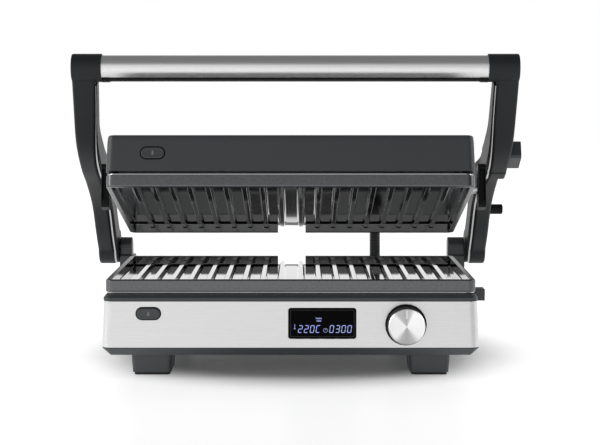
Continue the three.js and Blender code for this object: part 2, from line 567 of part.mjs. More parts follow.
place(head, "upper_grill_plate", grillPlate().mirror([0, 0, 1]).translate([0, 0, PLATE_GAP]), castAluminium);
const upperPan = heatPan().mirror([0, 0, 1]).translate([0, 0, PLATE_GAP + panTop]);
place(head, "upper_heat_pan", upperPan, brushedSteel);
place(head, "upper_heating_element", heatingElement(21), copper);
place(head, "upper_temperature_probe", rod("z", 6, 15, 23, 0, 0, 16), copper);
place(head, "head_cover", headCover(), darkPlastic);
place(head, "head_frame", headFrame(), blackPlastic);
place(head, "top_inlay", topInlay(), brushedSteel);
const upperWall = HEAD.front + HEAD.wall + 0.3;
place(head, "upper_release_button", releaseButton(UPPER_BUTTON, HEAD.front - 1.4, upperWall), darkPlastic);
place(head, "upper_boot", upperBoot(), rubber);

for (const [side, sign] of SIDES) {
  place(head, `pivot_pin_${side}`, pivotPin(side, sign), brushedSteel);
  place(lid, `float_bracket_${side}`, floatBracket(side, sign), blackPlastic);
  place(lid, `arm_cover_${side}`, side === "left" ? armCover(side, sign) : rightArmCover(), darkPlastic);
  place(lid, `arm_core_${side}`, armLayer(side, sign, ARM.core, 0.4), brushedSteel);
  place(lid, `arm_liner_${side}`, armLayer(side, sign, ARM.liner, 1.2), blackPlastic);
  place(press, `hinge_lug_${side}`, hingeLug(side, sign), darkPlastic);
  place(press, `hinge_pin_${side}`, hingePin(side, sign), brushedSteel);
}
place(lid, "handle_tube", handleTube(), brushedSteel);
place(lid, "handle_grip_strip", gripStrip(), blackPlastic);
place(lid, "height_slider", heightSlider(), darkPlastic);
place(lid, "arm_lock_button", lockPin(), blackPlastic);
place(press, "lower_boot", lowerBoot(), rubber);
place(press, "link_cable", headLead(), rubber);

export default press;
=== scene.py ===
"""A contact grill (panini press) standing part open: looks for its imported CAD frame."""

import json
import math

import bmesh
import bpy
from mathutils import Matrix, Vector


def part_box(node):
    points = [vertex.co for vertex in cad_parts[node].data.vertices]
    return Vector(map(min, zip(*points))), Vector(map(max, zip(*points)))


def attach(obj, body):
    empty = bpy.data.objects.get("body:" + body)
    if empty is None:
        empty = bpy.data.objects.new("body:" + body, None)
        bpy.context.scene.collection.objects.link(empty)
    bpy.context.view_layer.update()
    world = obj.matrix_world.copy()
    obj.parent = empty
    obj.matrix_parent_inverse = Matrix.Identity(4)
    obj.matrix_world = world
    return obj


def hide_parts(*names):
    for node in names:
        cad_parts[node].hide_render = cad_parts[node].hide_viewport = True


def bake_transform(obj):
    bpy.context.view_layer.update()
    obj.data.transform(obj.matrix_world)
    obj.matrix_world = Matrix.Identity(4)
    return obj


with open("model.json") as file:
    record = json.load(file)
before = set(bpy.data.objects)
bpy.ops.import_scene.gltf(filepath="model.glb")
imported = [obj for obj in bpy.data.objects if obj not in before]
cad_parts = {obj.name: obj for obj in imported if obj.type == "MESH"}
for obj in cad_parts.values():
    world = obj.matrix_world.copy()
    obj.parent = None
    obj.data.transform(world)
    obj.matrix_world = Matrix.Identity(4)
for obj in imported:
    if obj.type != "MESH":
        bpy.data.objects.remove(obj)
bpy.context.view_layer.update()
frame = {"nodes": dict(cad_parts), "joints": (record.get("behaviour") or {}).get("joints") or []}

# ------------------------------------------------------------------ spaces, all drawn in millimetres
MM = 0.001
GAP = 0.3  # between pieces that touch


def span(node):
    """A CAD node's box, in millimetres from the middle of the base."""
    lo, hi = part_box(node)
    shift = Vector((MIDDLE.x, MIDDLE.y, 0))
    return (lo - shift) / MM, (hi - shift) / MM


pan_lo, pan_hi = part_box("base_pan")
MIDDLE = (pan_lo + pan_hi) / 2
HINGE = next(j for j in frame["joints"] if j["name"] == "arm_hinge")
HINGE_AT = Vector(HINGE["pos_m"])
OPENING = -math.radians(HINGE["range_deg"][0])
BASE_SPACE = Matrix.Translation((MIDDLE.x, MIDDLE.y, 0)) @ Matrix.Scale(MM, 4)
LID_SPACE = (Matrix.Translation((MIDDLE.x, HINGE_AT.y, HINGE_AT.z)) @ Matrix.Rotation(-OPENING, 4, "X")
             @ Matrix.Scale(MM, 4))

plate_lo, plate_hi = span("lower_grill_plate")
heat_lo, heat_hi = span("lower_heat_pan")
PLATE_TOP = plate_hi.z
PLATE_Y = (heat_lo.y + heat_hi.y) / 2
HINGE_Y, HINGE_Z = (HINGE_AT.y - MIDDLE.y) / MM, HINGE_AT.z / MM
HEAD_Y, HEAD_Z = PLATE_Y - HINGE_Y, PLATE_TOP - HINGE_Z
HEAD_SPACE = LID_SPACE @ Matrix.Translation((0, HEAD_Y, HEAD_Z))
TO_FRONT = Matrix.Rotation(math.pi / 2, 4, "X")  # a drawing's x right, y up, z towards the front
TO_SIDE = Matrix.Rotation(math.pi / 2, 4, "Y")  # a drawing's z along x
TO_YZ = Matrix(((0, 0, 1, 0), (1, 0, 0, 0), (0, 1, 0, 0), (0, 0, 0, 1)))  # a drawing's x and y along y and z


def at(x, y, z, turn=Matrix.Identity(4)):
    return Matrix.Translation((x, y, z)) @ turn


# ------------------------------------------------------------------ drawing
def path(points, closed=False, steps=4):
    """Points (u, v) or (u, v, radius): a corner with a radius becomes an arc."""
    out = []
    for i, (u, v, *radius) in enumerate(points):
        corner = Vector((u, v))
        if not radius or (not closed and i in (0, len(points) - 1)):
            out.append((u, v))
            continue
        before = (Vector(points[i - 1][:2]) - corner).normalized()
        after = (Vector(points[(i + 1) % len(points)][:2]) - corner).normalized()
        half = before.angle(after) / 2
        centre = corner + (before + after).normalized() * (radius[0] / math.sin(half))
        reach = radius[0] / math.tan(half)
        first, last = corner + before * reach - centre, corner + after * reach - centre
        start = math.atan2(first.y, first.x)
        sweep = (math.atan2(last.y, last.x) - start + math.pi) % (2 * math.pi) - math.pi
        for k in range(steps + 1):
            a = start + sweep * k / steps
            out.append((centre.x + radius[0] * math.cos(a), centre.y + radius[0] * math.sin(a)))
    return out


def rounded(half_x, half_y, radius, x=0.0, y=0.0, steps=8):
    r = max(min(radius, half_x - 0.01, half_y - 0.01), 0.05)
    return path([(x + sx * half_x, y + sy * half_y, r) for sx, sy in ((-1, -1), (1, -1), (1, 1), (-1, 1))],
                closed=True, steps=steps)


def loft(rings, closed=False):
    """A solid through rings of points; closed joins the last ring to the first, else both ends are capped."""
    bm = bmesh.new()
    rows = [[bm.verts.new(p) for p in ring] for ring in rings]
    for a, b in zip(rows, rows[1:] + (rows[:1] if closed else [])):
        for i in range(len(a)):
            bm.faces.new((a[i - 1], a[i], b[i], b[i - 1]))
    if not closed:
        bm.faces.new(rows[0][::-1])
        bm.faces.new(rows[-1])
    bmesh.ops.recalc_face_normals(bm, faces=bm.faces)
    return bm


def prism(outline, z0, z1):
    return loft([[(u, v, z) for u, v in outline] for z in (z0, z1)])


def stack(half_x, half_y, radius, profile, y=0.0, closed=False, steps=8):
    """A solid with a rounded outline; profile is (inset, z[, arc radius]) from its bottom to its top."""
    return loft([[(u, v, z) for u, v in rounded(half_x - inset, half_y - inset, radius - inset, 0, y, steps)]
                 for inset, z in path(profile)], closed)


def block(x0, x1, y0, y1, z0, z1):
    return prism([(x0, y0), (x1, y0), (x1, y1), (x0, y1)], z0, z1)


def turned(profile, sides=64, closed=False):
    """A solid turned about z; profile is (radius, z[, arc radius])."""
    turns = [(math.cos(2 * math.pi * k / sides), math.sin(2 * math.pi * k / sides)) for k in range(sides)]
    return loft([[(r * c, r * s, z) for c, s in turns] for r, z in path(profile)], closed)


def rod(axis, radius, start, end, a, b, sides=48):
    """A plain rod along an axis; a and b are its two other coordinates."""
    bm = turned([(radius, start), (radius, end)], sides)
    if axis == "z":
        return moved(bm, at(a, b, 0))
    if axis == "x":
        return moved(bm, at(0, a, b, TO_SIDE))
    return moved(bm, at(a, 0, b, Matrix.Rotation(-math.pi / 2, 4, "X")))


def moved(bm, matrix):
    bm.transform(matrix)
    return bm


def merged(*parts):
    """Several drawings as one."""
    whole = bmesh.new()
    for bm in parts:
        mesh = bpy.data.meshes.new("part")
        bm.to_mesh(mesh)
        bm.free()
        whole.from_mesh(mesh)
        bpy.data.meshes.remove(mesh)
    return whole


def as_object(name, bm):
    mesh = bpy.data.meshes.new(name)
    bm.to_mesh(mesh)
    bm.free()
    obj = bpy.data.objects.new(name, mesh)
    bpy.context.scene.collection.objects.link(obj)
    return obj


def bake(obj):
    """Its modifiers become its mesh."""
    seen = bpy.context.evaluated_depsgraph_get()
    old, obj.data = obj.data, bpy.data.meshes.new_from_object(obj.evaluated_get(seen))
    obj.modifiers.clear()
    bpy.data.meshes.remove(old)


def combine(obj, bm, operation):
    tool = as_object("tool", bm)
    modifier = obj.modifiers.new(operation, "BOOLEAN")
    modifier.object, modifier.operation, modifier.solver = tool, operation, "EXACT"
    bake(obj)
    mesh = tool.data
    bpy.data.objects.remove(tool)
    bpy.data.meshes.remove(mesh)


def soften(obj, width, segments=2, angle=32):
    """Rounds its edges by a real amount, and shades it smooth between them."""
    if width:
        bevel = obj.modifiers.new("edges", "BEVEL")
        bevel.width, bevel.segments, bevel.limit_method = width, segments, "ANGLE"
        bevel.angle_limit = math.radians(angle)
        bevel.miter_outer = "MITER_ARC"
    obj.data.shade_smooth()


def piece(name, bm, space, body, look, replaces=(), joins=(), cuts=(), edge=0.0, segments=2, sharp=34):
    """A finished piece: drawn in millimetres, joined and cut, its edges rounded, then set in place."""
    bmesh.ops.recalc_face_normals(bm, faces=bm.faces)
    obj = as_object(name, bm)
    for part in joins:
        combine(obj, part, "UNION")
    for hole in cuts:
        combine(obj, hole, "DIFFERENCE")
    if edge:
        soften(obj, edge, segments)
        bake(obj)
    obj.data.transform(space)
    obj.data.shade_smooth()
    obj.data.set_sharp_from_angle(angle=math.radians(sharp))
    weigh = obj.modifiers.new("shading", "WEIGHTED_NORMAL")
    weigh.keep_sharp = True
    dress(obj, look)
    if body:
        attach(obj, body)
    if replaces:
        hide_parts(*replaces)
    return obj


# ------------------------------------------------------------------ materials
def surface(name, colour, roughness, metallic=0.0, grain=900.0, stretch=(1, 1, 1), relief=0.04, spread=0.08,
            mottle=0.05, specular=0.5, coat=0.0, anisotropy=0.0, axis="Z"):
    """A material with fine procedural grain in its colour, its gloss and its relief."""
    made = bpy.data.materials.new(name)
    made.use_nodes = True
    tree = made.node_tree
    shader = tree.nodes["Principled BSDF"]
    shader.inputs["Metallic"].default_value = metallic
    shader.inputs["Specular IOR Level"].default_value = specular
    shader.inputs["Coat Weight"].default_value = coat
    shader.inputs["Coat Roughness"].default_value = 0.06
    shader.inputs["Anisotropic"].default_value = anisotropy

    def node(kind, **settings):
        new = tree.nodes.new(kind)
        for key, value in settings.items():
            setattr(new, key, value)
        return new

    coordinates = node("ShaderNodeTexCoord")
    mapping = node("ShaderNodeMapping")
    mapping.inputs["Scale"].default_value = stretch
    noise = node("ShaderNodeTexNoise")
    noise.inputs["Scale"].default_value = grain
    noise.inputs["Detail"].default_value = 3
    tree.links.new(coordinates.outputs["Object"], mapping.inputs["Vector"])
    tree.links.new(mapping.outputs["Vector"], noise.inputs["Vector"])

    gloss = node("ShaderNodeMapRange")
    gloss.inputs["To Min"].default_value = max(roughness - spread, 0.02)
    gloss.inputs["To Max"].default_value = roughness + spread
    tree.links.new(noise.outputs["Fac"], gloss.inputs["Value"])
    tree.links.new(gloss.outputs["Result"], shader.inputs["Roughness"])

    tint = node("ShaderNodeMix", data_type="RGBA")
    tint.inputs["A"].default_value = [c * (1 - mottle) for c in colour] + [1]
    tint.inputs["B"].default_value = [min(c * (1 + mottle), 1) for c in colour] + [1]
    tree.links.new(noise.outputs["Fac"], tint.inputs["Factor"])
    tree.links.new(tint.outputs["Result"], shader.inputs["Base Color"])

    bump = node("ShaderNodeBump")
    bump.inputs["Strength"].default_value = relief
    bump.inputs["Distance"].default_value = 0.0005
    tree.links.new(noise.outputs["Fac"], bump.inputs["Height"])
    tree.links.new(bump.outputs["Normal"], shader.inputs["Normal"])
    if anisotropy:
        tangent = node("ShaderNodeTangent", direction_type="RADIAL", axis=axis)
        tree.links.new(tangent.outputs["Tangent"], shader.inputs["Tangent"])
    return made


def glowing(name, colour, strength):
    made = surface(name, colour, 0.4)
    shader = made.node_tree.nodes["Principled BSDF"]
    shader.inputs["Emission Color"].default_value = (*colour, 1)
    shader.inputs["Emission Strength"].default_value = strength
    return made


ALONG_X = (0.012, 1, 1)  # brushed along x
LOOKS = {
    "dark_plastic": surface("dark plastic", (0.0225, 0.0275, 0.0310), 0.42, grain=2600, relief=0.08,
                            mottle=0.10, specular=0.72),
    "black_plastic": surface("black plastic", (0.005, 0.005, 0.006), 0.45, grain=2600, relief=0.08,
                             specular=0.18),
    "brushed_steel": surface("brushed steel", (0.69, 0.69, 0.69), 0.30, 1, 1500, ALONG_X, 0.10, 0.10, 0.10),
    "handle_steel": surface("handle steel", (0.80, 0.80, 0.80), 0.32, 1, 1700, ALONG_X, 0.08, 0.08, 0.10),
    "inner_steel": surface("inner steel", (0.55, 0.55, 0.56), 0.22, 1, 300),
    "spun_aluminium": surface("spun aluminium with painted highlights", (0.74, 0.74, 0.75), 0.28, 1, 400, relief=0.0, spread=0.01,
                              mottle=0.0, anisotropy=0.5, axis="Y"),
    "nonstick_aluminium": surface("non-stick coating", (0.135, 0.140, 0.145), 0.30, 1.0, 450, relief=0.10,
                                  mottle=0.30),
    "rubber": surface("rubber", (0.020, 0.020, 0.021), 0.6, grain=1800, relief=0.12, specular=0.35),
    "display_black": surface("display glass", (0.001, 0.001, 0.0015), 0.10, spread=0.02, relief=0.0,
                             specular=0.03),
    "element_steel": surface("element sheath", (0.16, 0.13, 0.11), 0.5, 0.8, 700),
    "circuit_board": surface("circuit board", (0.015, 0.075, 0.04), 0.5, grain=350),
}
COOKING_FACE = surface("non-stick cooking face", (0.010, 0.010, 0.012), 0.06, 0.0, 700, relief=0.006,
                       spread=0.02, mottle=0.08, specular=0.7, coat=1.0)
COOKING_FACE.node_tree.nodes["Principled BSDF"].inputs["Coat IOR"].default_value = 1.35
UPPER_FACE = surface("upper cooking face", (0.014, 0.015, 0.017), 0.10, 0.0, 700, relief=0.008, spread=0.03,
                     mottle=0.10, specular=1.0, coat=1.0)


def paint_spun_highlights(made, centre):
    """Painted highlights: two soft light wedges, with darker ones between, painted into the colour of a face
    turned on a lathe; its colour follows the angle about the axis.
    """
    tree = made.node_tree
    shader = tree.nodes["Principled BSDF"]
    coordinates = next(n for n in tree.nodes if n.type == "TEX_COORD")
    offset = tree.nodes.new("ShaderNodeVectorMath")
    offset.operation = "SUBTRACT"
    offset.inputs[1].default_value = centre
    split = tree.nodes.new("ShaderNodeSeparateXYZ")
    angle = tree.nodes.new("ShaderNodeMath")
    angle.operation = "ARCTAN2"
    turn = tree.nodes.new("ShaderNodeMapRange")
    turn.inputs["From Min"].default_value, turn.inputs["From Max"].default_value = -math.pi, math.pi
    ramp = tree.nodes.new("ShaderNodeValToRGB")
    # These greys are painted highlight and painted shade: light and dark wedges round the face.
    highlight_greys = ((0.0, 0.40), (0.07, 0.46), (0.13, 0.86), (0.36, 0.92), (0.40, 0.52), (0.48, 0.42), (0.545, 0.54),
             (0.58, 0.92), (0.86, 0.90), (0.93, 0.50), (1.0, 0.40))
    while len(ramp.color_ramp.elements) < len(highlight_greys):
        ramp.color_ramp.elements.new(0.5)
    for element, (place, grey) in zip(ramp.color_ramp.elements, highlight_greys):
        element.position, element.color = place, (grey, grey, grey, 1)
    links = tree.links
    links.new(coordinates.outputs["Object"], offset.inputs[0])
    links.new(offset.outputs["Vector"], split.inputs["Vector"])
    links.new(split.outputs["X"], angle.inputs[0])
    links.new(split.outputs["Z"], angle.inputs[1])
    links.new(angle.outputs["Value"], turn.inputs["Value"])
    links.new(turn.outputs["Result"], ramp.inputs["Fac"])
    links.new(ramp.outputs["Color"], shader.inputs["Base Color"])


DIGITS = glowing("display digits", (0.30, 0.35, 0.72), 0.62)
SIGNS = glowing("display signs", (0.20, 0.23, 0.50), 0.38)
FAINT_MARK = surface("faint mark", (0.16, 0.165, 0.17), 0.5)
ARM_PLASTIC = surface("arm plastic", (0.0125, 0.0145, 0.0165), 0.50, grain=2600, relief=0.08, mottle=0.10,
                      specular=0.30)
CABLE_JACKET = surface("cable jacket", (0.060, 0.062, 0.065), 0.45, grain=1800, relief=0.10)
# Near-black, darker than the black plastic: painted shade for the gap round a release button.
BUTTON_SHADE = surface("button gap painted shade", (0.003, 0.003, 0.003), 0.6, specular=0.1)
PANE_LINE = surface("display frame line", (0.030, 0.031, 0.035), 0.5)
WHITE_MARK = surface("white mark", (0.85, 0.85, 0.85), 0.5)


def dress(obj, look, *others):
    """look is a slot's name; others are further materials of the same piece."""
    obj.data.materials.clear()
    for made in (LOOKS[look], *others):
        obj.data.materials.append(made)


# ------------------------------------------------------------------ base
BASE_X, BASE_Y, BASE_CORNER = (pan_hi.x - pan_lo.x) / 2 / MM, (pan_hi.y - pan_lo.y) / 2 / MM, 8
FRONT = -BASE_Y
SHEET = 1.2
PAN_BOTTOM, PAN_TOP = pan_lo.z / MM, pan_hi.z / MM
DRAFT = 1.9  # how much narrower the base is at its top, each side
CHAMFER = 7.5  # the slope under the base
panel_lo, panel_hi = span("front_panel")
PANEL_BOTTOM, PANEL_TOP, BAND_END = panel_lo.z, panel_hi.z, panel_hi.y


def drafted(bm):
    """Leans the sides of the base in towards its top."""
    for v in bm.verts:
        rise = (v.co.z - PANEL_BOTTOM) / (PANEL_TOP - PANEL_BOTTOM)
        v.co.x *= 1 - DRAFT / BASE_X * min(max(rise, 0), 1)
    return bm


def front_sheet(outer, inner, back, z0, z1):
    """A sheet round the front of the base and its corners; outer and inner are insets from its outline."""
    def run(inset):
        x, y, r = BASE_X - inset, FRONT + inset, BASE_CORNER - inset
        return [(-x, back), (-x, y, r), (x, y, r), (x, back)]
    return drafted(prism(path(run(outer) + run(inner)[::-1], closed=True, steps=8), z0, z1))


base_vents = [prism(rounded(3, 30, 2.9, -55 + 14 * i, -60), 15, 26) for i in range(9)]
piece("base_pan_moulding",
      stack(BASE_X, BASE_Y, BASE_CORNER, [(CHAMFER, PAN_BOTTOM), (0.4, PAN_TOP - 0.8), (0, PAN_TOP),
                                          (11, PAN_TOP), (11, PAN_BOTTOM + 2.4)]),
      BASE_SPACE, "root", "dark_plastic", ["base_pan"], cuts=base_vents, edge=0.5)

tray_lo, tray_hi = span("drip_tray")
gland_lo, gland_hi = span("mains_gland")
GLAND_X, GLAND_Z = (gland_lo.x + gland_hi.x) / 2, (gland_lo.z + gland_hi.z) / 2
catch_lo, catch_hi = span("storage_catch")
spout_half = span("drip_funnel")[1].x + 0.5
inner_wall = rounded(BASE_X - 5.5, BASE_Y - 3.6, 5)
shell = loft([[(u, v, z) for u, v in outline] for outline, z in (
    (rounded(BASE_X, BASE_Y, BASE_CORNER), PANEL_BOTTOM),
    (rounded(BASE_X - DRAFT, BASE_Y, BASE_CORNER), PANEL_TOP),
    (inner_wall, PANEL_TOP), (inner_wall, PANEL_BOTTOM))], closed=True)
piece("base_shell_moulding", shell, BASE_SPACE, "root", "dark_plastic", ["base_shell"], edge=0.4, cuts=[
    front_sheet(-3, SHEET + GAP, BAND_END + GAP, 20, 80),
    block(-142, 126, FRONT - 1, FRONT + 8, 33, 67.4),
    block(tray_lo.x - 0.4, tray_hi.x + 0.4, 160, 175, 20, tray_hi.z + 0.5),
    block(-spout_half, spout_half, 150, 175, 66, 90),
    block(155, 175, catch_lo.y - 2.5, catch_hi.y + 2.5, 62, 67),
    rod("y", (gland_hi.x - gland_lo.x) / 2 + GAP, 160, 176, GLAND_X, GLAND_Z),
])

window_lo, window_hi = span("display_window")
WINDOW = (window_lo + window_hi) / 2
WINDOW_X, WINDOW_Z = (window_hi.x - window_lo.x) / 2, (window_hi.z - window_lo.z) / 2
knob_lo, knob_hi = span("control_knob")
KNOB = (knob_lo + knob_hi) / 2
KNOB_RADIUS = (knob_hi.z - knob_lo.z) / 2
button_lo, button_hi = span("lower_release_button")
LOWER_BUTTON = (button_lo + button_hi) / 2
BUTTON_X, BUTTON_Z = 10.4, 5.0


def through_front(outline, x, z, depth=8):
    return moved(prism(outline, -depth, depth), at(x, FRONT, z, TO_FRONT))


piece("front_panel_sheet", front_sheet(0, SHEET, BAND_END, PANEL_BOTTOM, PANEL_TOP), BASE_SPACE, "root",
      "brushed_steel", ["front_panel"], edge=0.25, cuts=[
          through_front(rounded(BUTTON_X + 0.9, BUTTON_Z + 0.9, 5.85), LOWER_BUTTON.x, LOWER_BUTTON.z),
          through_front(rounded(WINDOW_X + GAP, WINDOW_Z + GAP, 2.4), WINDOW.x, WINDOW.z),
          rod("y", 4.2, FRONT - 5, FRONT + 5, KNOB.x, KNOB.z)])

deck_lo, deck_hi = span("deck")
DECK_X, DECK_Y = deck_hi.x, deck_hi.y
boot_lo, boot_hi = span("lower_boot")
LEAD_X, LEAD_Y = (boot_lo.x + boot_hi.x) / 2, (boot_lo.y + boot_hi.y) / 2
piece("deck_moulding",
      stack(DECK_X, DECK_Y, BASE_CORNER, [(0, deck_lo.z), (0, deck_hi.z - 2.4, 0.5), (1.9, deck_hi.z, 0.6),
                                          (6, deck_hi.z)]),
      BASE_SPACE, "root", "dark_plastic", ["deck"], edge=0.35, cuts=[
          stack(157, 107, 8, [(0, 60), (0, 90)], y=PLATE_Y),
          block(-18, 18, 60, 96, 60, 90),
          block(-spout_half - 0.5, spout_half + 0.5, 95, 180, 60, 90),
          rod("z", 6.5, 60, 90, LEAD_X, LEAD_Y)])

# ------------------------------------------------------------------ feet
for end in ("front", "rear"):
    for side in ("left", "right"):
        lo, hi = span(f"foot_{end}_{side}")
        mid, half = (lo + hi) / 2, (hi - lo) / 2
        foot = stack(half.x, half.y, 5, [(1.2, lo.z), (0, hi.z)])
        groove = block(-half.x - 1, half.x + 1, -half.y + 3.4, -half.y + 4.6, lo.z - 1, hi.z - 4)
        piece(f"foot_{end}_{side}_moulding", moved(foot, at(mid.x, mid.y, 0)), BASE_SPACE, "root",
              "dark_plastic", [f"foot_{end}_{side}"], edge=0.5, cuts=[moved(groove, at(mid.x, mid.y, 0))])

# ------------------------------------------------------------------ grill plates, rim up, rim at z 0
PLATE_X, PLATE_HALF_Y = plate_hi.x, PLATE_Y - plate_lo.y
RIM, RIM_HEIGHT, FLOOR, UNDER = 5, 10.8, 9.5, 13.7
SPOUT_X, SPOUT_REACH = 14, 8
RIDGE_PITCH, RIDGE_MIDDLE, RIDGE_TOP, RIDGE_END = 16.6, 9.2, 4.7, 109.5
RIDGE_SIDE = [(3.7, -FLOOR - 0.6), (3.7, -FLOOR), (3.0, -FLOOR + 1.2, 0.8), (2.2, -RIDGE_TOP, 0.7)]


def ridge(x):
    """A rib with rounded edges, whose ends slope down to the floor of the plate."""
    right = path(RIDGE_SIDE + [(0, -RIDGE_TOP)])
    section = right + [(-u, v) for u, v in right[-2::-1]]
    rings = []
    for y, drop in ((-RIDGE_END, 2.6), (-RIDGE_END + 2, 0.7), (-RIDGE_END + 4.5, 0), (RIDGE_END - 4.5, 0),
                    (RIDGE_END - 2, 0.7), (RIDGE_END, 2.6)):
        rings.append([(x + u, y, max(v - drop, -FLOOR - 0.6) if v > -FLOOR else v) for u, v in section])
    return loft(rings)


def grill_plate(name, matrix, space, body, node, cooking_face):
    profile = [(0, -RIM_HEIGHT), (0, 0, 1.4), (RIM, 0, 0.8), (RIM, -FLOOR, 2.0), (RIM + 8, -FLOOR)]
    casting = stack(PLATE_X, PLATE_HALF_Y, 7, profile)
    under = stack(151.5, 101.5, 5, [(0.6, -UNDER), (0, -UNDER + 0.6), (0, -RIM_HEIGHT + 0.5)])
    end = PLATE_HALF_Y + SPOUT_REACH
    wall = SPOUT_X + 2
    spout = block(-wall, wall, PLATE_HALF_Y - 1, end, -RIM_HEIGHT, -RIDGE_TOP)
    lip = block(-SPOUT_X, SPOUT_X, end - 2, end, -RIM_HEIGHT - 4.5, -FLOOR - 0.02)
    channel = block(-SPOUT_X, SPOUT_X, PLATE_HALF_Y - RIM - 1, end + 1, -FLOOR, 5)
    ribs = merged(*[ridge(side * (RIDGE_MIDDLE + RIDGE_PITCH * i)) for i in range(9) for side in (-1, 1)])
    bmesh.ops.recalc_face_normals(ribs, faces=ribs.faces)
    obj = as_object(name, casting)
    for part, operation in ((under, "UNION"), (spout, "UNION"), (lip, "UNION"), (channel, "DIFFERENCE"),
                            (ribs, "UNION")):
        combine(obj, part, operation)
    for face in obj.data.polygons:
        x, y, z = face.center
        within = abs(x) < PLATE_X - RIM + 0.3 and abs(y) < PLATE_HALF_Y - RIM + 0.3
        inside = within and -FLOOR - 0.1 < z < -0.9
        face.material_index = int(inside)
    obj.data.transform(space @ matrix)
    obj.data.shade_smooth()
    obj.data.set_sharp_from_angle(angle=math.radians(38))
    obj.modifiers.new("shading", "WEIGHTED_NORMAL").keep_sharp = True
    shares = [face.material_index for face in obj.data.polygons]
    dress(obj, "nonstick_aluminium", cooking_face)
    obj.data.polygons.foreach_set("material_index", shares)
    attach(obj, body)
    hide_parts(node)


grill_plate("lower_plate_casting", at(0, PLATE_Y, PLATE_TOP), BASE_SPACE, "root", "lower_grill_plate",
            COOKING_FACE)
PLATE_GAP = 0.7  # between the two rims when the lid is shut
grill_plate("upper_plate_casting", at(0, 0, PLATE_GAP) @ Matrix.Diagonal((-1, 1, -1, 1)), HEAD_SPACE, "head",
            "upper_grill_plate", UPPER_FACE)

# ------------------------------------------------------------------ knob, display and buttons
# The knob's face gets painted highlight wedges in its colour.
paint_spun_highlights(LOOKS["spun_aluminium"], BASE_SPACE @ KNOB)
KNOB_SPACE = BASE_SPACE @ at(KNOB.x, knob_hi.y, KNOB.z, TO_FRONT)
knob_depth = knob_hi.y - knob_lo.y
piece("knob_body",
      turned([(0.01, 0), (KNOB_RADIUS - 0.6, 0), (KNOB_RADIUS, 0.8), (KNOB_RADIUS, 3.2),
              (KNOB_RADIUS - 0.35, 3.6),
              (KNOB_RADIUS - 0.5, knob_depth - 1.6, 0.5), (0.01, knob_depth - 1.6)], 96),
      KNOB_SPACE, "knob", "black_plastic", ["control_knob"],
      cuts=[rod("z", 3.3, -5, knob_depth - 2, 0, 0)])
piece("knob_face",
      turned([(0.01, knob_depth - 1.58), (KNOB_RADIUS - 0.9, knob_depth - 1.58),
              (KNOB_RADIUS - 0.9, knob_depth - 0.6),
              (KNOB_RADIUS - 1.5, knob_depth - 0.05), (KNOB_RADIUS - 2.1, knob_depth - 0.35),
              (0.01, knob_depth - 0.45)], 128),
      KNOB_SPACE, "knob", "spun_aluminium")
pointer = prism(rounded(0.85, 3.9, 0.5, 0, KNOB_RADIUS - 6.2, 4), knob_depth - 0.6, knob_depth - 0.22)
pointer_mark = piece("knob_pointer", pointer, KNOB_SPACE, "knob", "spun_aluminium")
pointer_mark.data.materials[0] = WHITE_MARK

PANE_SPACE = BASE_SPACE @ at(WINDOW.x, window_lo.y, WINDOW.z, TO_FRONT)
pane_depth = window_hi.y - window_lo.y
piece("display_pane", stack(WINDOW_X, WINDOW_Z, 2.2, [(0, -pane_depth), (0, 0, 0.3), (1, 0)]),
      PANE_SPACE, "root",
      "display_black", ["display_window"])
MARK = 0.07  # how far the display's marks stand proud
outline_x, outline_z = WINDOW_X - 1.6, WINDOW_Z - 1.6
inner_line = loft([[(u, v, z) for u, v in rounded(outline_x - inset, outline_z - inset, 1.0)]
                   for inset, z in ((0, -0.2), (0, 0.03), (0.28, 0.03), (0.28, -0.2))], closed=True)
piece("display_inner_line", inner_line, PANE_SPACE, "root", "display_black").data.materials[0] = PANE_LINE

SEGMENTS = {"0": "abcdef", "2": "abged", "3": "abgcd", "C": "adef"}
DIGIT_X, DIGIT_Z, STROKE, SLANT = 1.55, 3.1, 0.30, 0.14


def segment(u0, v0, u1, v1):
    """A bar of a seven-segment figure, with pointed ends."""
    along = Vector((u1 - u0, v1 - v0)).normalized()
    across = Vector((-along.y, along.x)) * STROKE
    a, b = Vector((u0, v0)) + along * 0.12, Vector((u1, v1)) - along * 0.12
    outline = [a, a + along * STROKE - across, b - along * STROKE - across, b, b - along * STROKE + across,
               a + along * STROKE + across]
    return [(p.x, p.y) for p in outline]


def figure(sign, x, z):
    x0, x1, low, high = -DIGIT_X, DIGIT_X, -DIGIT_Z, DIGIT_Z
    bars = {"a": (x0, high, x1, high), "b": (x1, high, x1, 0), "c": (x1, 0, x1, low), "d": (x1, low, x0, low),
            "e": (x0, low, x0, 0), "f": (x0, 0, x0, high), "g": (x0, 0, x1, 0)}
    drawn = merged(*[prism(segment(*bars[name]), -0.2, MARK) for name in SEGMENTS[sign]])
    for v in drawn.verts:
        v.co.x += SLANT * v.co.y + x
        v.co.y += z
    return drawn


def digits():
    shapes = []
    for text, first in (("220C", -19.4), ("0300", 8.3)):
        shapes += [figure(sign, first + 5.25 * i, -5.0) for i, sign in enumerate(text)]
    return merged(*shapes)


